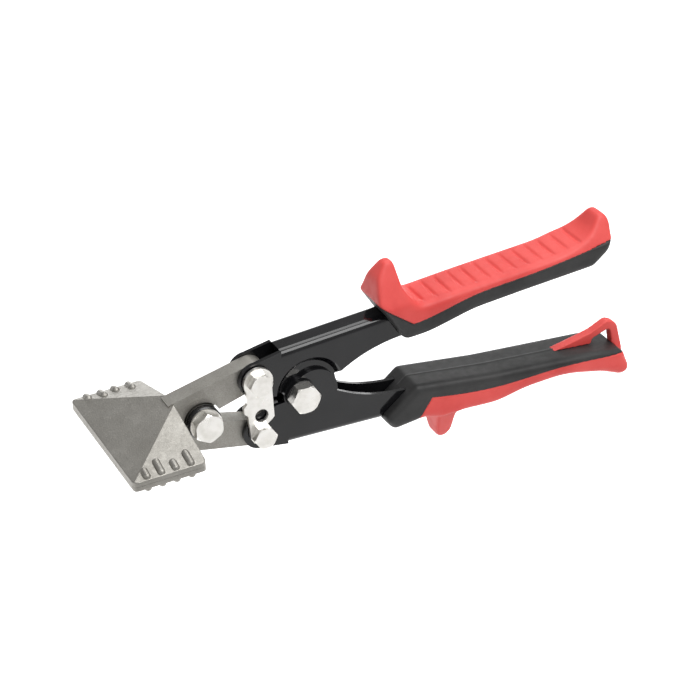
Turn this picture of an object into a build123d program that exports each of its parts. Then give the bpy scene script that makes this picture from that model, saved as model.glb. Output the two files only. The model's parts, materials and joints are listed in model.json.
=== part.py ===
from build123d import *
import os
from math import acos, asin, cos, degrees, hypot, radians, sin, sqrt, tan

# Hand seamer, compound leverage, 80 mm jaws.  All lengths in mm.
# X runs from the jaws (-) to the grips (+), Y across the tool along every pivot bolt,
# Z is the opening direction.  The origin is the jaw pivot, on the closed jaw faces.

# ---- linkage: jaw pivot at the origin, tails one above the other, handle pivot on X
TAIL_X, TAIL_Z = 26.7, 13.9         # upper tail pivot; the lower one is its mirror image
HANDLE_X = 48.0                     # handle pivot
HANDLE_TRAVEL = 16.0                # degrees the handles open from the latched position
LATCH_RATIO = 2.7                   # degrees the latch swings for each degree of handle travel

# ---- jaws
JAW_WIDTH = 80.0
JAW_FRONT, JAW_REAR = -47.0, -12.6
JAW_EDGE = 2.3                      # thickness at the front and side edges
JAW_RIDGE = 12.7                    # height where the roof meets the arm
JAW_CORNER = 2.6
JAW_SOFT_EDGE = 0.6
FACE_GAP = 0.05                     # each closed face stands this far off the parting plane
RIB_X = (-40.0, -33.2, -26.5, -19.4)
RIB_SHORT, RIB_LONG, RIB_RADIUS = 3.0, 5.8, 1.8
ARM_HALF = 4.4                      # half thickness of the arm
ARM_SLOPE = 12.2                    # degrees, top edge of the arm
TAIL_RADIUS = 7.6
LUG_RADIUS, LUG_POCKET = 8.2, 9.1
LUG_FACE = 7.6
LUG_GAP = 0.05
PAD_END, PAD_TOP = 12.0, 10.6       # thick part of the arm behind the lug
JAW_BORE = 4.05
TAIL_BORE = 3.09

# ---- handle channels
SHEET = 2.0
OUTER_FACE = 6.6                    # outside of the channel
INNER_FACE = 4.4                    # outside of the joggled flange at the handle pivot
WEB_FRONT = 40.0
FRONT_RADIUS = 8.4                  # flange nose around the tail pivot
LOBE_RADIUS, LOBE_DX, LOBE_DZ = 11.7, 7.0, 1.5
BOSS_RADIUS = 8.4
JOGGLE_X, JOGGLE_RADIUS, JOGGLE_RAMP = 53.0, 14.6, 2.5
WEB_BEND = 3.2                      # outer radius of the two long bends
NECK_X, NECK_Z = 35.5, 2.4          # lower front corner of the flange, under the tail pivot
CHANNEL_END = 200.0
HANDLE_BORE = 4.05
HANDLE_TAIL_BORE = 3.03

# ---- fasteners
M8, M6 = 8.0, 6.0
M8_HEX, M6_HEX = 13.0, 10.0
M8_HEAD, M6_HEAD = 4.5, 4.0
M8_NUT, M6_NUT = 6.5, 3.2           # ordinary nuts on the pivots, thin ones on the tails
THREAD_STICKOUT, TAIL_STICKOUT = 1.2, 0.6
JAW_WASHER_RADIUS, JAW_WASHER = 7.6, 1.0
HANDLE_WASHER_RADIUS, HANDLE_WASHER = 7.4, 1.6
BORE_GAP = 0.05
SHOULDER_RADIUS = 3.4               # lower tail bolt, where the latch hooks on

# ---- latch
LATCH_SHEET = 2.0
LATCH_HEAD_RADIUS, LATCH_HALF = 7.2, 6.4
LATCH_GAP = 0.2
LATCH_TIP = 31.2                    # below its pivot
FINGER_HOLE_DX, FINGER_HOLE_DROP, FINGER_HOLE_RADIUS = 0.2, 17.5, 3.3
SPRING_WASHER, SPRING_WASHER_RADIUS = 0.6, 5.9

# ---- return spring
WIRE, COILS = 1.3, 11 / 6
SLEEVE_RADIUS = 5.2
COIL_RADIUS = 6.2
SPRING_LEG, LEG_ANGLE = 31.0, 60.0

# ---- grips
GRIP_HALF = 12.6
UPPER_FLOOR, LOWER_FLOOR = 0.0, -80.0   # below everything in each grip
GRIP_ROUND = 3.2
GROOVES, GROOVE_WIDTH, GROOVE_DEPTH, GROOVE_HALF = 13, 0.9, 0.6, 7.5
GROOVE_START, GROOVE_PITCH = 112.0, 7.0
LOOP_HALF = 2.4
FILL_LAP = 0.2                      # the filling of a channel runs this far into its flanges


def slab(face, y0, y1):
    """Plate with the given side outline between two stations across the tool."""
    plane = Plane(origin=(0, y1, 0), x_dir=(1, 0, 0), z_dir=(0, -1, 0))
    return extrude(plane * face, amount=y1 - y0)


def disc(x, z, radius):
    return Pos(x, z) * Circle(radius)


def rod(x, z, radius, y0, y1):
    return slab(disc(x, z, radius), y0, y1)


def ring(x, z, outer, inner, y0, y1):
    return slab(disc(x, z, outer) - disc(x, z, inner), y0, y1)


def flip(shape):
    """Half a turn about X: the same part on the other handle."""
    return Rotation(180, 0, 0) * shape


def rounded(corners):
    """Closed outline from corners (x, z, radius), each radius eased where two arcs would meet."""
    count = len(corners)
    points = [Vector(x, z) for x, z, _ in corners]
    lengths = [(points[(i + 1) % count] - points[i]).length for i in range(count)]
    before = [(points[i - 1] - points[i]).normalized() for i in range(count)]
    after = [(points[(i + 1) % count] - points[i]).normalized() for i in range(count)]
    halves = [acos(max(-1.0, min(1.0, before[i].dot(after[i])))) / 2 for i in range(count)]
    backs = [corners[i][2] / tan(halves[i]) for i in range(count)]
    ease = [min(1.0, 0.97 * lengths[i] / (backs[i] + backs[(i + 1) % count])) for i in range(count)]
    outline = []
    for i in range(count):
        back = backs[i] * min(ease[i - 1], ease[i])
        reach = back / cos(halves[i]) - back * tan(halves[i])
        bisector = (before[i] + after[i]).normalized()
        start, end = points[i] + before[i] * back, points[i] + after[i] * back
        outline.append(ThreePointArc(start, points[i] + bisector * reach, end))
    joined = []
    for i, arc in enumerate(outline):
        joined += [arc, Line(arc @ 1, outline[(i + 1) % count] @ 0)]
    return make_face(Curve() + joined)


def hex_prism(x, z, across_flats, y0, y1, chamfered_at, corner_up=False):
    """Hexagon head or nut with the usual turned chamfer on its outer face."""
    spin = 30 if corner_up else 0
    prism = slab(Pos(x, z) * RegularPolygon(across_flats / 2, 6, major_radius=False, rotation=spin), y0, y1)
    turned = rod(x, z, across_flats * 0.575, y0, y1)
    rim = turned.faces().sort_by(Axis.Y)[0 if chamfered_at == "near" else -1].edges()
    return prism & chamfer(rim, across_flats * 0.06)


# ---------------------------------------------------------------- jaws
def roof_height(x, y):
    """Height of the jaw's hipped back above the parting plane."""
    rise = JAW_RIDGE - JAW_EDGE
    front = JAW_EDGE + rise * (x - JAW_FRONT) / (JAW_REAR - JAW_FRONT)
    side = JAW_EDGE + rise * (JAW_WIDTH / 2 - abs(y)) / (JAW_WIDTH / 2 - ARM_HALF)
    return min(front, side)


def jaw_blade():
    """Wide plate with a hipped back: one facet to the front, one to each side."""
    middle = (JAW_FRONT + JAW_REAR) / 2
    blank = Pos(middle, 0, FACE_GAP) * extrude(
        RectangleRounded(JAW_REAR - JAW_FRONT, JAW_WIDTH, JAW_CORNER), JAW_RIDGE)
    rise = JAW_RIDGE - JAW_EDGE
    front = Plane(origin=(JAW_FRONT, 0, JAW_EDGE), x_dir=(0, 1, 0),
                  z_dir=(-rise, 0, JAW_REAR - JAW_FRONT))
    blade = split(blank, bisect_by=front, keep=Keep.BOTTOM)
    for side in (-1, 1):
        hip = Plane(origin=(JAW_FRONT, side * JAW_WIDTH / 2, JAW_EDGE), x_dir=(1, 0, 0),
                    z_dir=(0, side * rise, JAW_WIDTH / 2 - ARM_HALF))
        blade = split(blade, bisect_by=hip, keep=Keep.BOTTOM)
    rim = [e for e in blade.edges() if e.center().Z > JAW_EDGE - 0.3 and e.center().Z < JAW_EDGE + 0.6
           and e.bounding_box().size.Z < 0.9]
    return fillet(rim, JAW_SOFT_EDGE)


def jaw_ribs():
    """Four round-ended ribs near each side edge, short and long in turn."""
    ribs = []
    outer = JAW_WIDTH / 2 - RIB_RADIUS - 0.4
    for side in (-1, 1):
        for i, x in enumerate(RIB_X):
            length = RIB_LONG if i % 2 else RIB_SHORT
            a = Vector(x, side * outer, roof_height(x, outer) - 0.2)
            b = Vector(x, side * (outer - length), roof_height(x, outer - length) - 0.2)
            along = b - a
            body = Plane(origin=a, z_dir=along) * Cylinder(
                RIB_RADIUS, along.length, align=(Align.CENTER, Align.CENTER, Align.MIN))
            ribs += [body, Pos(a) * Sphere(RIB_RADIUS), Pos(b) * Sphere(RIB_RADIUS)]
    return ribs


def jaw():
    """Upper jaw: blade, arm, tail and the lug on its far side."""
    slope = tan(radians(ARM_SLOPE))
    reach = TAIL_RADIUS / cos(radians(ARM_SLOPE))
    top = lambda x: TAIL_Z + reach + slope * (x - TAIL_X)
    tail_top_x = TAIL_X - TAIL_RADIUS * sin(radians(ARM_SLOPE))
    arm_face = make_face(Polyline((JAW_REAR - 3, FACE_GAP), (JAW_REAR - 3, top(JAW_REAR - 3)),
                                  (tail_top_x, top(tail_top_x)), (TAIL_X, TAIL_Z), (23.2, 7.4), (8.6, 3.4),
                                  (0, FACE_GAP), close=True)) + disc(TAIL_X, TAIL_Z, TAIL_RADIUS)
    near_half = slab(arm_face - disc(0, 0, LUG_POCKET), -ARM_HALF, LUG_GAP)
    far_half = slab(arm_face + disc(0, 0, LUG_RADIUS), LUG_GAP, ARM_HALF)
    pad_face = make_face(Polyline((0, 0), (1.6, 8.0), (PAD_END, PAD_TOP), (PAD_END, 4.3), close=True))
    lug = rod(0, 0, LUG_RADIUS, LUG_GAP, LUG_FACE)
    lug = chamfer(lug.faces().sort_by(Axis.Y)[-1].edges(), 0.5)
    body = jaw_blade() + near_half + far_half + lug + slab(pad_face, LUG_GAP, LUG_FACE)
    for rib in jaw_ribs():
        body += rib
    body -= rod(0, 0, LUG_POCKET, -2 * LUG_FACE, LUG_GAP)
    body -= rod(0, 0, JAW_BORE, -2 * LUG_FACE, 2 * LUG_FACE)
    body -= rod(TAIL_X, TAIL_Z, TAIL_BORE, -2 * LUG_FACE, 2 * LUG_FACE)
    return body


# ---------------------------------------------------------------- handle channels
def web_height(x):
    """Outer edge of the upper channel."""
    return 22.05 + 0.064 * x


def flange_outline():
    """Side outline of the upper channel, nose to the end inside the grip."""
    nose_top = (TAIL_X, TAIL_Z + FRONT_RADIUS)
    main = make_face(Curve() + [
        Polyline((NECK_X, NECK_Z), (TAIL_X, TAIL_Z - FRONT_RADIUS), nose_top,
                 (WEB_FRONT, web_height(WEB_FRONT)), (CHANNEL_END, web_height(CHANNEL_END) - 2.0),
                 (CHANNEL_END, 25.0), (118.0, 20.5), (106.0, 15.0)),
        Spline((106.0, 15.0), (88.0, 13.0), (79.0, 10.3), (71.5, 6.9), (64.0, 2.6)),
        Line((64.0, 2.6), (NECK_X, NECK_Z))])
    lobe = disc(HANDLE_X + LOBE_DX, LOBE_DZ, LOBE_RADIUS)
    boss = disc(HANDLE_X, 0, BOSS_RADIUS)
    neck = make_face(Polyline((NECK_X, NECK_Z), (64.0, 2.6), (60.0, -4.0), (HANDLE_X, -4.0),
                              (40.5, 2.0), close=True))
    return main + disc(TAIL_X, TAIL_Z, FRONT_RADIUS) + lobe + boss + neck


def web():
    """Outer wall of the channel with its two rounded bends."""
    slope = (web_height(1) - web_height(0)) - 2.0 / (CHANNEL_END - WEB_FRONT)
    plane = Plane(origin=(WEB_FRONT, 0, web_height(WEB_FRONT)), x_dir=(0, 1, 0), z_dir=(1, 0, slope))
    wall = Pos(0, -WEB_BEND) * RectangleRounded(2 * OUTER_FACE, 2 * WEB_BEND, WEB_BEND - 0.01)
    wall -= Pos(0, -WEB_BEND - 3) * Rectangle(2 * OUTER_FACE, 5)
    wall += Pos(0, -WEB_BEND - 0.4) * Rectangle(2 * OUTER_FACE, 1.0)
    wall -= Pos(0, -SHEET - 2) * RectangleRounded(2 * (OUTER_FACE - SHEET), 4, WEB_BEND - SHEET)
    return extrude(plane * wall, amount=(CHANNEL_END - WEB_FRONT) * sqrt(1 + slope ** 2))


def above_web():
    """Everything above the start of the bends, behind the web's front edge."""
    return slab(make_face(Polyline((WEB_FRONT, web_height(WEB_FRONT) - WEB_BEND),
                                   (CHANNEL_END + 1, web_height(CHANNEL_END) - 2.0 - WEB_BEND),
                                   (CHANNEL_END + 1, 60), (WEB_FRONT, 60), close=True)),
                -2 * OUTER_FACE, 2 * OUTER_FACE)


def channel():
    """Upper handle: U channel, near flange joggled inwards round the handle pivot."""
    side = flange_outline()
    far = slab(side, OUTER_FACE - SHEET, OUTER_FACE)
    ramp_end = JOGGLE_RADIUS + JOGGLE_RAMP
    near = slab(side - disc(JOGGLE_X, 0, ramp_end - 0.01), -OUTER_FACE, SHEET - OUTER_FACE)
    step = make_face(Polyline((0, SHEET - INNER_FACE), (JOGGLE_RADIUS, SHEET - INNER_FACE),
                              (ramp_end, SHEET - OUTER_FACE), (ramp_end, -OUTER_FACE),
                              (JOGGLE_RADIUS, -INNER_FACE), (0, -INNER_FACE), close=True))
    dish = Pos(JOGGLE_X, 0, 0) * revolve(step, Axis.Y)
    near += dish & slab(side, -2 * OUTER_FACE, 2 * OUTER_FACE)
    body = far + near - above_web() + web()
    body -= rod(HANDLE_X, 0, HANDLE_BORE, -2 * OUTER_FACE, 2 * OUTER_FACE)
    body -= rod(TAIL_X, TAIL_Z, HANDLE_TAIL_BORE, -2 * OUTER_FACE, 2 * OUTER_FACE)
    return body


# ---------------------------------------------------------------- fasteners
def bolt(x, z, size, hex_size, head, head_face, end, corner_up=False):
    """Hex bolt from the near side: head outwards from head_face, shank to the far end."""
    shank = rod(x, z, size / 2, head_face - 0.5, end)
    shank = chamfer(shank.faces().sort_by(Axis.Y)[-1].edges(), 0.5)
    return hex_prism(x, z, hex_size, head_face - head, head_face, "near", corner_up) + shank


def nut(x, z, size, hex_size, thick, seat):
    """Hex nut on the far side of the tool."""
    return hex_prism(x, z, hex_size, seat, seat + thick, "far") - rod(x, z, size / 2 + BORE_GAP / 2,
                                                                      seat - 1, seat + thick + 1)


def washer_pair(x, z, outer, bore, thick, seat):
    """The same washer on both sides."""
    return [ring(x, z, outer, bore, -seat - thick, -seat), ring(x, z, outer, bore, seat, seat + thick)]


def jaw_pivot():
    seat = LUG_FACE + BORE_GAP
    face = seat + JAW_WASHER
    end = face + M8_NUT + THREAD_STICKOUT
    return {
        "jaw_pivot_bolt": bolt(0, 0, M8, M8_HEX, M8_HEAD, -face, end, corner_up=True),
        "jaw_pivot_washers": washer_pair(0, 0, JAW_WASHER_RADIUS, M8 / 2 + BORE_GAP, JAW_WASHER, seat),
        "jaw_pivot_nut": nut(0, 0, M8, M8_HEX, M8_NUT, face),
    }


def handle_pivot():
    seat = OUTER_FACE + BORE_GAP
    face = seat + HANDLE_WASHER
    end = face + M8_NUT + THREAD_STICKOUT
    sleeve_half = INNER_FACE - SHEET - BORE_GAP
    return {
        "handle_pivot_bolt": bolt(HANDLE_X, 0, M8, M8_HEX, M8_HEAD + 0.9, -face, end),
        "handle_pivot_washers": washer_pair(HANDLE_X, 0, HANDLE_WASHER_RADIUS, M8 / 2 + BORE_GAP,
                                            HANDLE_WASHER, seat),
        "handle_pivot_nut": nut(HANDLE_X, 0, M8, M8_HEX, M8_NUT, face),
        "pivot_sleeve": ring(HANDLE_X, 0, SLEEVE_RADIUS, M8 / 2 + BORE_GAP, -sleeve_half, sleeve_half),
    }


def tail_pivots():
    """The two tail bolts; the lower one is shouldered where the latch hooks on."""
    seat = OUTER_FACE + BORE_GAP
    latch_seat = seat + SPRING_WASHER + LATCH_SHEET + 2 * BORE_GAP
    end = seat + M6_NUT + TAIL_STICKOUT
    shoulder = rod(TAIL_X, -TAIL_Z, SHOULDER_RADIUS, -latch_seat, -seat)
    return {
        "upper_tail_bolt": bolt(TAIL_X, TAIL_Z, M6, M6_HEX, M6_HEAD, -latch_seat, end),
        "upper_tail_nut": nut(TAIL_X, TAIL_Z, M6, M6_HEX, M6_NUT, seat),
        "latch_spring_washer": ring(TAIL_X, TAIL_Z, SPRING_WASHER_RADIUS, M6 / 2 + BORE_GAP,
                                    -seat - SPRING_WASHER, -seat),
        "lower_tail_bolt": bolt(TAIL_X, -TAIL_Z, M6, M6_HEX, M6_HEAD, -latch_seat, end) + shoulder,
        "lower_tail_nut": nut(TAIL_X, -TAIL_Z, M6, M6_HEX, M6_NUT, seat),
    }


# ---------------------------------------------------------------- latch
def shoulder_path(travel):
    """Where the lower tail bolt lies, seen from the latch, with its pivot as the origin."""
    lever = hypot(HANDLE_X - TAIL_X, TAIL_Z)
    spread = degrees(asin(TAIL_Z / lever)) * 2
    distance = 2 * lever * sin(radians((spread - travel) / 2))
    angle = radians((LATCH_RATIO - 0.5) * travel)
    return Vector(distance * sin(angle), -distance * cos(angle))


def mouth_edge():
    """Slanted edge the bolt shoulder just clears while the latch swings off it."""
    points = []
    clear = SHOULDER_RADIUS + LATCH_GAP
    for step in range(6):
        travel = 1.6 * step
        here, ahead = shoulder_path(travel), shoulder_path(travel + 0.1)
        along = (ahead - here).normalized()
        points.append(here + Vector(-along.Y, along.X) * clear)
    return points


def latch():
    """Flat latch: pivots on the upper tail bolt and hooks over the lower one."""
    drop = 2 * TAIL_Z
    edge = mouth_edge()
    inner = -(SHOULDER_RADIUS + LATCH_GAP)
    mouth_top = edge[0]
    bend = Vector(inner * 0.76, -drop - inner * 0.66)
    right = LATCH_HALF
    slope_x = edge[-1].X
    outline = make_face(Curve() + [
        Polyline((-LATCH_HALF, 0), (-LATCH_HALF, -9.6), (-LATCH_HALF - 1.7, -11.4),
                 (-LATCH_HALF - 1.7, -14.4), (-LATCH_HALF, -16.0), (-LATCH_HALF + 0.6, -drop - 1.0),
                 (-LATCH_HALF + 2.0, -LATCH_TIP), (inner + 0.2, -LATCH_TIP), (inner, -drop)),
        ThreePointArc((inner, -drop), bend, (mouth_top.X, mouth_top.Y)),
        Spline(*[(p.X, p.Y) for p in edge]),
        Polyline((slope_x, edge[-1].Y), (right, edge[-1].Y + 1.2), (right, 0), (-LATCH_HALF, 0))])
    outline += Circle(LATCH_HEAD_RADIUS)
    outline -= Circle(M6 / 2 + BORE_GAP)
    outline -= Pos(FINGER_HOLE_DX, -FINGER_HOLE_DROP) * Circle(FINGER_HOLE_RADIUS)
    front = -(OUTER_FACE + 2 * BORE_GAP + SPRING_WASHER)
    return slab(Pos(TAIL_X, TAIL_Z) * outline, front - LATCH_SHEET, front)


# ---------------------------------------------------------------- return spring
def return_spring():
    """Torsion spring round the pivot sleeve, one leg under each handle's web."""
    pitch = WIRE + 0.05
    helix = Helix(pitch, COILS * pitch, COIL_RADIUS, center=(0, 0, -COILS * pitch / 2))
    last = radians(360 * COILS)
    directions = (Vector(0, -1, 0), Vector(-sin(last), cos(last), 0))
    wire = sweep(Plane(origin=helix @ 0, z_dir=helix % 0) * Circle(WIRE / 2), path=helix)
    for knee, along in zip((helix @ 0, helix @ 1), directions):
        wire += Plane(origin=knee, z_dir=along) * Cylinder(
            WIRE / 2, SPRING_LEG, align=(Align.CENTER, Align.CENTER, Align.MIN))
        wire += Pos(knee) * Sphere(WIRE / 2)
    return Pos(HANDLE_X, 0, 0) * Rotation(90, 0, 0) * Rotation(0, 0, 90 - LEG_ANGLE) * wire


# ---------------------------------------------------------------- grips
UPPER_BODY = ((88.5, 35.5, 3), (100.5, 14.6, 4), (113, 15.0, 60), (137, 20.3, 60), (162, 22.0, 90),
              (202, 24.2, 5), (211.0, 31.0, 7), (213.8, 43.6, 7), (210.6, 50.2, 4), (201, 38.8, 18),
              (182, 35.0, 60), (134, 32.4, 60), (108.4, 30.6, 7), (102.0, 39.0, 14), (100.4, 53.2, 2.5),
              (95.4, 52.6, 2.4), (90.2, 45.6, 9))
UPPER_SPLIT = ((70, 48.6), (88.5, 35.0), (104.6, 22.4), (111.2, 23.1), (135.8, 28.1), (160.6, 30.1),
               (183.7, 32.2), (207.1, 35.4), (230, 38.6))
LOWER_BODY = ((105.4, -11.8, 2.6), (87.6, -25.5, 3.5), (92.5, -32.0, 3.5), (108, -30.4, 8),
              (116.8, -33.5, 2.5), (117.8, -46.5, 4.2), (121, -51.6, 4), (126, -46.0, 6),
              (127.4, -33.0, 4), (148, -34.6, 40), (164, -31.6, 60), (186, -31.0, 60), (207, -36.2, 30),
              (218, -41.2, 3.8), (223.6, -39.4, 3.2), (219.4, -27.8, 4), (208, -24.4, 40),
              (146, -18.0, 90))
LOWER_SPLIT = ((70, -34), (102.2, -34), (112.6, -19.9), (121.8, -21.8), (151.2, -25.3),
               (179.1, -25.4), (216.5, -28.3), (235, -29.8))
UPPER_HORN, UPPER_END, LOWER_HORN = (80, 112), (190, 220), (113, 130)   # stretches in X
UPPER_HORN_ROOT, UPPER_HORN_TIP = (32.0, GRIP_HALF + 0.3), (53.0, 2.6)
UPPER_END_ROOT, UPPER_END_TIP = (33.0, GRIP_HALF + 0.6), (50.0, 3.6)
LOWER_HORN_ROOT, LOWER_HORN_TIP = (-32.5, 9.6), (-51.5, 3.4)
LOOP = ((182.0, -22.6, 0.6), (206.6, -17.8, 12), (215.6, -13.9, 3.2), (220.8, -16.4, 5.5),
        (223.6, -30.0, 9), (224.6, -38.0, 2), (218.4, -38.0, 1), (218.4, -30.0, 3), (216.8, -18.6, 1.5),
        (206.6, -21.6, 0.8), (206.2, -23.6, 0.8), (200, -26.5, 1))


def grip_body(corners):
    """Solid grip with rounded edges before the two materials are told apart."""
    body = slab(rounded(corners), -GRIP_HALF, GRIP_HALF)
    sides = body.faces().sort_by(Axis.Y)
    return fillet(sides[0].edges() + sides[-1].edges(), GRIP_ROUND)


def below_line(points, low):
    """Everything under a line that runs along the grip."""
    line = [Line(points[0], points[1]), Line(points[1], points[2]), Spline(*points[2:])]
    first, last = points[0], points[-1]
    rest = Polyline(last, (last[0], low), (first[0], low), first)
    return slab(make_face(Curve() + [*line, rest]), -2 * GRIP_HALF, 2 * GRIP_HALF)


def cheeks(stretch, root, tip):
    """Wedges that narrow a guard or a flared end; root and tip are (z, half width)."""
    (x0, x1), (root_z, root_half), (tip_z, tip_half) = stretch, root, tip
    past = 2 * tip_z - root_z
    cuts = []
    for side in (-1, 1):
        inner, outer = side * tip_half, side * 2 * GRIP_HALF
        face = make_face(Polyline((side * root_half, root_z), (inner, tip_z), (inner, past),
                                  (outer, past), (outer, root_z), close=True))
        plane = Plane(origin=(x0, 0, 0), x_dir=(0, 1, 0), z_dir=(1, 0, 0))
        cuts.append(extrude(plane * face, amount=x1 - x0))
    return cuts


def filled_channel():
    """Channel with the space between its flanges filled in."""
    half = OUTER_FACE - SHEET + FILL_LAP
    return channel() + slab(flange_outline(), -half, half)


def upper_grip(channel_part, envelope):
    body = grip_body(UPPER_BODY)
    horn = cheeks(UPPER_HORN, UPPER_HORN_ROOT, UPPER_HORN_TIP)
    for cut in horn + cheeks(UPPER_END, UPPER_END_ROOT, UPPER_END_TIP):
        body -= cut
    for i in range(GROOVES):
        x = GROOVE_START + GROOVE_PITCH * i
        top = max(v.Z for v in (body & Pos(x, 0, 40) * Box(0.2, 0.2, 40)).vertices())
        body -= Pos(x, 0, top) * Box(GROOVE_WIDTH, 2 * GROOVE_HALF, 2 * GROOVE_DEPTH)
    inner = below_line(UPPER_SPLIT, UPPER_FLOOR)
    return (body & inner) - channel_part, (body - inner) - envelope


def lower_grip(channel_part, envelope):
    body = grip_body(LOWER_BODY)
    for cut in cheeks(LOWER_HORN, LOWER_HORN_ROOT, LOWER_HORN_TIP):
        body -= cut
    outer = below_line(LOWER_SPLIT, LOWER_FLOOR)
    return (body - outer) - channel_part, (body & outer) - envelope


def hang_loop(grips):
    """Eyelet moulded on the inner face of the lower grip, at its end."""
    loop = slab(rounded(LOOP), -LOOP_HALF, LOOP_HALF)
    for grip in grips:
        loop -= grip
    return loop


os.makedirs("parts", exist_ok=True)
upper_jaw = jaw()
upper_channel = channel()
lower_channel = flip(upper_channel)
filled = filled_channel()
upper_black, upper_red = upper_grip(upper_channel, filled)
lower_black, lower_red = lower_grip(lower_channel, flip(filled))
pieces = {
    "upper_jaw": upper_jaw,
    "lower_jaw": flip(upper_jaw),
    "upper_handle": upper_channel,
    "lower_handle": lower_channel,
    **jaw_pivot(),
    **handle_pivot(),
    **tail_pivots(),
    "latch": latch(),
    "return_spring": return_spring(),
    "upper_grip_inner": upper_black,
    "upper_grip_outer": upper_red,
    "lower_grip_inner": lower_black,
    "lower_grip_outer": lower_red,
    "hang_loop": hang_loop((lower_black, lower_red, lower_channel)),
}
for name, shape in pieces.items():
    if isinstance(shape, list):
        shape = Compound(children=shape)
    print(name, len(shape.solids()), round(shape.volume), shape.is_valid)
    export_step(shape, f"parts/{name}.step")
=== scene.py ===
import json
import math
import bpy
from mathutils import Matrix, Vector
from mathutils.bvhtree import BVHTree

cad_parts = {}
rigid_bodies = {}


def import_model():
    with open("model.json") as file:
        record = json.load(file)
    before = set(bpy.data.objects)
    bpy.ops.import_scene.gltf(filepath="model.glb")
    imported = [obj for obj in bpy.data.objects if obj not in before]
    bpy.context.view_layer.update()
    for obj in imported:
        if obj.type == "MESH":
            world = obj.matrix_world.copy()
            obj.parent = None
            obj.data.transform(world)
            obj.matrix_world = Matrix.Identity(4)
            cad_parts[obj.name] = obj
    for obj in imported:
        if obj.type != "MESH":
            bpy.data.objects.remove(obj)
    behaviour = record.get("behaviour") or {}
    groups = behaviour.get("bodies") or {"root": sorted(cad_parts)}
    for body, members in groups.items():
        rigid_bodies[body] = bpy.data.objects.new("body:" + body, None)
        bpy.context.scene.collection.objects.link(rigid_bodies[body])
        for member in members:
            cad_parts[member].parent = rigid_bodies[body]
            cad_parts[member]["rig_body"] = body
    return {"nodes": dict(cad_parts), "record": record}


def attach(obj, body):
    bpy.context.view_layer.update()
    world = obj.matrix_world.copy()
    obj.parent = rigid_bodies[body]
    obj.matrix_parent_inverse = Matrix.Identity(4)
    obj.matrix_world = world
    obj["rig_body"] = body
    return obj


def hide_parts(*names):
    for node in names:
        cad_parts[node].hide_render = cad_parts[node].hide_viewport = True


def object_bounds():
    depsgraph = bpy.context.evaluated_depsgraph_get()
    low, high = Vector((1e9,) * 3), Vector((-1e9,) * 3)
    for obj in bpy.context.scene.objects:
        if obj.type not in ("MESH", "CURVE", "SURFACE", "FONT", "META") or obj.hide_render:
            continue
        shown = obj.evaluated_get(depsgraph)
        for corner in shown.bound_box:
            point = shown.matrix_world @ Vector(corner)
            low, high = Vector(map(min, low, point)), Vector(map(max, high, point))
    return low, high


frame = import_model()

CAD_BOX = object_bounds()
NODES = frame["nodes"]
MM = 0.001

# ---- jaw finish
LUG_SHADE_RADIUS, ARM_FACE = 9.0 * MM, 4.7 * MM    # painted black shade and reflection inside this radius, outside this half thickness
LUG_SHADE_FADE, FACE_FADE = 0.2 * MM, 0.3 * MM
# painted shade and reflection on the jaw lugs: black colour and gloss standing in for shadow and dark
# reflection on steel
LUG_SHADE_BLACK, LUG_SHADE_ROUGHNESS = (0.010, 0.010, 0.011), 0.18

# ---- edges of the CAD nodes
EDGE = {"upper_jaw": 0.45, "lower_jaw": 0.45, "upper_handle": 0.30, "lower_handle": 0.30, "latch": 0.25}
SMOOTH_ANGLE, BEVEL_ANGLE, FLAT_ANGLE = 32.0, 35.0, 0.5     # degrees
NORMAL_WEIGHT = 80

# ---- moulded grips
VOXEL, WELD = 0.4 * MM, 0.01 * MM
EASE_FROM, EASE_FULL = 0.8 * MM, 3.5 * MM
EASE_FACTOR, EVEN_PASSES = 0.5, 4
GROOVES, GROOVE_START, GROOVE_PITCH = 13, 0.112, 0.007
GROOVE_DEPTH, GROOVE_SPREAD, GROOVE_HALF = 0.65 * MM, 0.75, 9.5 * MM
LINE_FROM, LINE_TO = 0.100, 0.205
LINE_HEIGHT, LINE_SPREAD = 0.28 * MM, 0.45 * MM

# ---- surroundings
FLOOR_DROP, FLOOR_HALF = 0.25, 6.0
GLOW, GLOW_FROM, GLOW_FULL = 0.75, -0.30, 0.02              # floor's own light, stations in Y
SKY_STOPS = ((0.0, 0.80), (0.30, 0.72), (0.60, 0.50), (0.80, 0.75), (1.0, 1.0))
SKY_STRENGTH = 0.6
SOFTBOXES = (                                               # name, place, aim, width, depth, watts
    ("overhead", (0.45, 0.45, 1.10), (0.08, 0.0, 0.0), 0.8, 0.8, 6),
    ("front_top", (0.43, -0.60, 0.93), (0.08, 0.0, 0.0), 0.9, 0.75, 11),
    ("rear", (0.60, 1.70, 0.10), (0.0, 0.0, 0.0), 1.4, 0.7, 7),
    ("left", (-1.1, -0.3, 0.5), (0.0, 0.0, 0.0), 0.5, 0.5, 1.5),
)
AZIMUTH, ELEVATION, ROLL = -24.384, 30.511, -3.575
CAMERA_DISTANCE, CAMERA_TARGET = 0.999694, (0.077079, 0.0, 0.010898)
LENS, SENSOR = 111.04, 36.0


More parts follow.
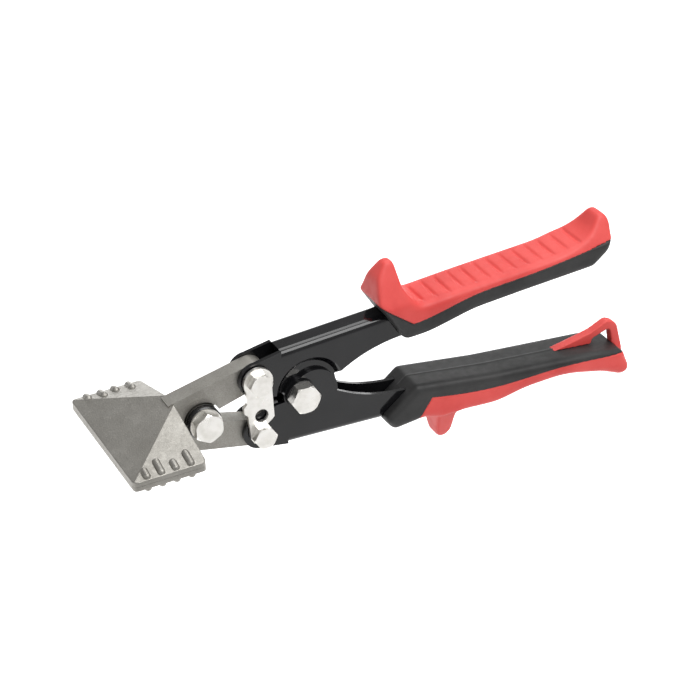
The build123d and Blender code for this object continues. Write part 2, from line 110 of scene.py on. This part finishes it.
# ---------------------------------------------------------------- material building
class Shader:
    """One Principled material, built node by node in object space (metres)."""

    def __init__(self, name):
        self.material = bpy.data.materials.new(name)
        self.material.use_nodes = True
        self.nodes = self.material.node_tree.nodes
        self.links = self.material.node_tree.links
        self.bsdf = self.nodes["Principled BSDF"]
        self.coords = self.nodes.new("ShaderNodeTexCoord").outputs["Object"]

    def set(self, **values):
        for key, value in values.items():
            socket = self.bsdf.inputs[key.replace("_", " ")]
            socket.default_value = (*value, 1.0) if isinstance(value, tuple) else value

    def node(self, kind, inputs=None, **attributes):
        made = self.nodes.new(kind)
        for key, value in attributes.items():
            setattr(made, key, value)
        for key, value in (inputs or {}).items():
            if isinstance(value, bpy.types.NodeSocket):
                self.links.new(value, made.inputs[key])
            else:
                made.inputs[key].default_value = value
        return made

    def noise(self, scale, detail=3.0, roughness=0.55, stretch=None, distortion=0.0):
        """Noise with its scale in features per metre."""
        vector = self.coords
        if stretch:
            vector = self.node("ShaderNodeMapping", {"Vector": vector, "Scale": stretch}).outputs["Vector"]
        inputs = {"Vector": vector, "Scale": scale, "Detail": detail, "Roughness": roughness,
                  "Distortion": distortion}
        return self.node("ShaderNodeTexNoise", inputs).outputs["Fac"]

    def cells(self, scale):
        return self.node("ShaderNodeTexVoronoi", {"Vector": self.coords, "Scale": scale}).outputs["Distance"]

    def ramp(self, factor, stops):
        made = self.node("ShaderNodeValToRGB", {"Fac": factor})
        elements = made.color_ramp.elements
        while len(elements) < len(stops):
            elements.new(0.5)
        for element, (position, colour) in zip(elements, stops):
            element.position = position
            element.color = (*colour, 1.0) if isinstance(colour, tuple) else (colour, colour, colour, 1.0)
        return made.outputs["Color"]

    def span(self, factor, low, high, start=0.3, end=0.7):
        """Factor remapped to a number between low and high."""
        made = self.node("ShaderNodeMapRange", {"Value": factor, "From Min": start, "From Max": end,
                                                "To Min": low, "To Max": high})
        return made.outputs["Result"]

    def mix(self, factor, a, b, blend="MIX"):
        made = self.node("ShaderNodeMix", data_type="RGBA", blend_type=blend)
        for key, value in (("Factor", factor), ("A", a), ("B", b)):
            socket = [s for s in made.inputs if s.name == key and s.enabled][0]
            if isinstance(value, bpy.types.NodeSocket):
                self.links.new(value, socket)
            else:
                socket.default_value = (*value, 1.0) if isinstance(value, tuple) else value
        return [s for s in made.outputs if s.enabled][0]

    def bump(self, *layers):
        """Layers of (height, strength, depth in mm), each on top of the last."""
        normal = None
        for height, strength, depth in layers:
            inputs = {"Height": height, "Strength": strength, "Distance": depth * MM}
            if normal:
                inputs["Normal"] = normal
            normal = self.node("ShaderNodeBump", inputs).outputs["Normal"]
        self.links.new(normal, self.bsdf.inputs["Normal"])

    def drive(self, key, socket):
        self.links.new(socket, self.bsdf.inputs[key])


def jaw_steel():
    """Shot-blasted forged steel, patchy grey and pitted; the pivot lugs' outer faces get painted shade and
    painted dark reflection in glossy black.
    """
    s = Shader("jaw_steel")
    patches = s.noise(90, 4)
    grain = s.noise(2000, 3, 0.7)
    colour = s.ramp(patches, ((0.30, (0.355, 0.342, 0.312)), (0.55, (0.415, 0.401, 0.368)),
                              (0.75, (0.475, 0.461, 0.427))))
    colour = s.mix(s.span(grain, 0.0, 0.55), colour, (0.20, 0.19, 0.175))
    place = s.node("ShaderNodeSeparateXYZ", {"Vector": s.coords}).outputs
    flat = s.node("ShaderNodeCombineXYZ", {"X": place["X"], "Z": place["Z"]}).outputs["Vector"]
    radius = s.node("ShaderNodeVectorMath", {0: flat}, operation="LENGTH").outputs["Value"]
    depth = s.node("ShaderNodeMath", {0: place["Y"]}, operation="ABSOLUTE").outputs["Value"]
    # painted shade: lug faces inside the radius and proud of the arm are coloured glossy black for shadow and
    # dark reflection
    inside = s.span(radius, 1.0, 0.0, LUG_SHADE_RADIUS - LUG_SHADE_FADE, LUG_SHADE_RADIUS)
    raised = s.span(depth, 0.0, 1.0, ARM_FACE, ARM_FACE + FACE_FADE)
    lug_shade_mask = s.node("ShaderNodeMath", {0: inside, 1: raised}, operation="MULTIPLY").outputs["Value"]
    s.drive("Base Color", s.mix(lug_shade_mask, colour, LUG_SHADE_BLACK))
    s.drive("Metallic", s.span(lug_shade_mask, 1.0, 0.0, 0.0, 1.0))
    rough = s.span(s.noise(500, 3), 0.44, 0.58)
    gloss = s.node("ShaderNodeMix", {"Factor": lug_shade_mask, 2: rough, 3: LUG_SHADE_ROUGHNESS}).outputs[0]
    s.drive("Roughness", gloss)
    s.bump((grain, 0.45, 0.10), (s.cells(1300), 0.35, 0.12), (patches, 0.12, 0.5))
    return s.material


def black_paint():
    """Gloss black stoving enamel over pressed sheet, with faint orange peel."""
    s = Shader("black_paint")
    s.set(Metallic=0.0, Specular_IOR_Level=0.55)
    haze = s.noise(60, 4)
    colour = s.ramp(haze, ((0.35, (0.003, 0.003, 0.004)), (0.65, (0.008, 0.008, 0.009))))
    s.drive("Base Color", colour)
    s.drive("Roughness", s.span(s.noise(220, 3), 0.09, 0.16))
    s.bump((s.noise(900, 2), 0.10, 0.06), (s.noise(150, 2), 0.10, 0.15))
    return s.material


def zinc_plate():
    """Bright zinc plate: pale, slightly cloudy, with fine turning marks."""
    s = Shader("zinc_plate")
    s.set(Metallic=1.0)
    cloud = s.noise(160, 4)
    colour = s.ramp(cloud, ((0.3, (0.78, 0.76, 0.71)), (0.55, (0.92, 0.90, 0.86)), (0.8, (0.96, 0.95, 0.92))))
    s.drive("Base Color", colour)
    s.drive("Roughness", s.span(s.noise(420, 3), 0.26, 0.38))
    s.bump((s.noise(1400, 2), 0.14, 0.05), (cloud, 0.08, 0.2))
    return s.material


def spring_wire():
    """Drawn spring wire, dark with light streaks along its length."""
    s = Shader("spring_wire")
    s.set(Metallic=1.0)
    streak = s.noise(700, 3, stretch=(0.3, 2.0, 0.3))
    s.drive("Base Color", s.ramp(streak, ((0.35, (0.16, 0.16, 0.165)), (0.65, (0.34, 0.34, 0.345)))))
    s.drive("Roughness", s.span(streak, 0.28, 0.45))
    s.bump((streak, 0.15, 0.05))
    return s.material


def grip_plastic(name, dark, base, light, rough, texture):
    """Moulded grip material: fine spark-eroded texture and slight mottling."""
    s = Shader(name)
    s.set(Metallic=0.0, Specular_IOR_Level=0.42)
    mottle = s.noise(45, 4)
    grain = s.noise(2400, 2, 0.65)
    colour = s.ramp(mottle, ((0.30, dark), (0.52, base), (0.78, light)))
    colour = s.mix(s.span(grain, 0.0, 0.16), colour, dark)
    s.drive("Base Color", colour)
    s.drive("Roughness", s.span(s.noise(300, 3), rough - 0.07, rough + 0.07))
    s.bump((grain, texture, 0.06), (s.cells(1900), texture * 0.6, 0.05), (mottle, 0.05, 0.4))
    return s.material


FINISH = {
    "jaw_steel": jaw_steel(),
    "black_steel": black_paint(),
    "zinc_steel": zinc_plate(),
    "spring_steel": spring_wire(),
    "black_plastic": grip_plastic("black_plastic", (0.013, 0.013, 0.013), (0.024, 0.024, 0.024),
                                  (0.036, 0.035, 0.035), 0.52, 0.26),
    "red_plastic": grip_plastic("red_plastic", (0.60, 0.050, 0.045), (0.69, 0.070, 0.062),
                                (0.75, 0.088, 0.078), 0.50, 0.16),
}
SLOT_OF = {part["node"]: part["material_slot"] for part in frame["record"]["subparts"]}


def shade(piece, slot_name, edge):
    """Give a piece its one finish, and smooth shading between its sharp edges; edge is a bevel in mm."""
    piece.data.materials.clear()
    piece.data.materials.append(FINISH[slot_name])
    for polygon in piece.data.polygons:
        polygon.use_smooth = True
        polygon.material_index = 0
    if edge:
        flat = piece.modifiers.new("flat", "DECIMATE")
        flat.decimate_type, flat.angle_limit = "DISSOLVE", math.radians(FLAT_ANGLE)
        bevel = piece.modifiers.new("edge", "BEVEL")
        bevel.width, bevel.segments, bevel.limit_method = edge * MM, 2, "ANGLE"
        bevel.angle_limit, bevel.miter_outer = math.radians(BEVEL_ANGLE), "MITER_ARC"
    split = piece.modifiers.new("edge_split", "EDGE_SPLIT")
    split.split_angle = math.radians(SMOOTH_ANGLE)
    if edge:
        weigh = piece.modifiers.new("weigh", "WEIGHTED_NORMAL")
        weigh.weight, weigh.keep_sharp = NORMAL_WEIGHT, True


# ---------------------------------------------------------------- moulded grips
def evaluated_copy(piece):
    """The piece's mesh with its modifiers applied; the modifiers are dropped."""
    bpy.context.view_layer.update()
    mesh = bpy.data.meshes.new_from_object(piece.evaluated_get(bpy.context.evaluated_depsgraph_get()))
    piece.modifiers.clear()
    old, piece.data = piece.data, mesh
    bpy.data.meshes.remove(old)
    return mesh


def free_weight(piece, neighbours):
    """Vertex group that is 1 away from the neighbouring parts and 0 next to them."""
    trees = []
    for other in neighbours:
        mesh = NODES[other].data
        trees.append(BVHTree.FromPolygons([v.co for v in mesh.vertices], [p.vertices for p in mesh.polygons]))
    group = piece.vertex_groups.new(name="free")
    for vertex in piece.data.vertices:
        near = min(tree.find_nearest(vertex.co)[3] for tree in trees)
        weight = min(1.0, max(0.0, (near - EASE_FROM) / (EASE_FULL - EASE_FROM)))
        if weight > 0:
            group.add([vertex.index], weight, "REPLACE")


def moulded(name, neighbours, passes, shape=None):
    """The node's solid again as one soft-edged moulding, edges eased as a die leaves them."""
    piece = bpy.data.objects.new(name + "_moulding", NODES[name].data.copy())
    bpy.context.scene.collection.objects.link(piece)
    weld = piece.modifiers.new("weld", "WELD")
    weld.merge_threshold = WELD
    remesh = piece.modifiers.new("remesh", "REMESH")
    remesh.mode, remesh.voxel_size = "VOXEL", VOXEL
    evaluated_copy(piece)
    free_weight(piece, neighbours)
    ease = piece.modifiers.new("ease", "SMOOTH")
    ease.factor, ease.iterations, ease.vertex_group = EASE_FACTOR, passes, "free"
    even = piece.modifiers.new("even", "SMOOTH")
    even.factor, even.iterations = EASE_FACTOR, EVEN_PASSES
    mesh = evaluated_copy(piece)
    if shape:
        moves = [shape(v.co, v.normal) for v in mesh.vertices]
        for vertex, move in zip(mesh.vertices, moves):
            vertex.co += move
        mesh.update()
    mesh.materials.clear()
    mesh.materials.append(FINISH[SLOT_OF[name]])
    for polygon in mesh.polygons:
        polygon.use_smooth = True
        polygon.material_index = 0
    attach(piece, NODES[name]["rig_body"])
    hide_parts(name)
    return piece


def thumb_grooves(point, normal):
    """Soft cross grooves in the back of the upper grip."""
    if normal.z < 0.4:
        return Vector()
    steps = (point.x - GROOVE_START) / GROOVE_PITCH
    if not -0.5 < steps < GROOVES - 0.5:
        return Vector()
    off = (steps - round(steps)) * GROOVE_PITCH / MM
    across = max(0.0, 1.0 - (abs(point.y) / GROOVE_HALF) ** 4)
    return Vector((0, 0, -GROOVE_DEPTH * math.exp(-(off / GROOVE_SPREAD) ** 2) * across))


def mould_line(point, normal):
    """Fine raised line along the middle of the lower grip's inner face."""
    if normal.z < 0.5 or not LINE_FROM < point.x < LINE_TO:
        return Vector()
    return Vector((0, 0, LINE_HEIGHT * math.exp(-(point.y / LINE_SPREAD) ** 2)))


for name, node in NODES.items():
    shade(node, SLOT_OF[name], EDGE.get(name, 0.0))
moulded("upper_grip_outer", ["upper_grip_inner", "upper_handle"], 100, thumb_grooves)
moulded("upper_grip_inner", ["upper_grip_outer", "upper_handle"], 26)
moulded("lower_grip_outer", ["lower_grip_inner", "lower_handle"], 80)
moulded("lower_grip_inner", ["lower_grip_outer", "lower_handle", "hang_loop"], 20, mould_line)
moulded("hang_loop", ["lower_grip_inner"], 12)


# ---------------------------------------------------------------- floor, light and camera
def floor():
    """Plain white table well below the tool, lit brighter behind it than in front."""
    mesh = bpy.data.meshes.new("floor")
    half, height = FLOOR_HALF, CAD_BOX[0].z - FLOOR_DROP
    corners = [(x, y, height) for x, y in ((-half, -half), (half, -half), (half, half), (-half, half))]
    mesh.from_pydata(corners, [], [(0, 1, 2, 3)])
    plane = bpy.data.objects.new("floor", mesh)
    bpy.context.scene.collection.objects.link(plane)
    s = Shader("floor_paper")
    s.drive("Base Color", s.ramp(s.noise(6, 2), ((0.3, (0.80, 0.80, 0.80)), (0.7, (0.82, 0.82, 0.82)))))
    s.set(Roughness=0.95, Specular_IOR_Level=0.1, Emission_Color=(1.0, 1.0, 1.0))
    depth = s.node("ShaderNodeSeparateXYZ", {"Vector": s.coords}).outputs["Y"]
    s.drive("Emission Strength", s.span(depth, 0.0, GLOW, GLOW_FROM, GLOW_FULL))
    mesh.materials.append(s.material)


def softbox(name, place, aim, width, depth, watts):
    data = bpy.data.lights.new(name, "AREA")
    data.shape = "RECTANGLE"
    data.size, data.size_y = width, depth
    data.energy = watts
    lamp = bpy.data.objects.new(name, data)
    bpy.context.scene.collection.objects.link(lamp)
    lamp.location = place
    lamp.rotation_mode = "QUATERNION"
    lamp.rotation_quaternion = (Vector(aim) - Vector(place)).to_track_quat("-Z", "Y")


def sky():
    """White surround, brightest overhead and dimmer towards the horizon."""
    world = bpy.data.worlds.new("studio")
    bpy.context.scene.world = world
    world.use_nodes = True
    nodes, links = world.node_tree.nodes, world.node_tree.links
    coords = nodes.new("ShaderNodeTexCoord")
    height = nodes.new("ShaderNodeSeparateXYZ")
    links.new(coords.outputs["Generated"], height.inputs["Vector"])
    ramp = nodes.new("ShaderNodeValToRGB")
    while len(ramp.color_ramp.elements) < len(SKY_STOPS):
        ramp.color_ramp.elements.new(0.5)
    for element, (position, grey) in zip(ramp.color_ramp.elements, SKY_STOPS):
        element.position, element.color = position, (grey, grey, grey, 1)
    links.new(height.outputs["Z"], ramp.inputs["Fac"])
    links.new(ramp.outputs["Color"], nodes["Background"].inputs["Color"])
    nodes["Background"].inputs["Strength"].default_value = SKY_STRENGTH


def camera():
    azimuth, elevation, roll = (math.radians(v) for v in (AZIMUTH, ELEVATION, ROLL))
    back = Vector((math.sin(azimuth) * math.cos(elevation), -math.cos(azimuth) * math.cos(elevation),
                   math.sin(elevation)))
    right = Vector((math.cos(azimuth), math.sin(azimuth), 0.0))
    up = back.cross(right)
    across = math.cos(roll) * right + math.sin(roll) * up
    above = math.cos(roll) * up - math.sin(roll) * right
    data = bpy.data.cameras.new("camera")
    data.lens, data.sensor_width = LENS, SENSOR
    data.clip_start, data.clip_end = 0.01, 50.0
    cam = bpy.data.objects.new("camera", data)
    bpy.context.scene.collection.objects.link(cam)
    cam.matrix_world = Matrix.Translation(Vector(CAMERA_TARGET) + CAMERA_DISTANCE * back) @ Matrix(
        (across, above, back)).transposed().to_4x4()
    bpy.context.scene.camera = cam


floor()
sky()
for box in SOFTBOXES:
    softbox(*box)
camera()
bpy.context.scene.view_settings.view_transform = "Standard"
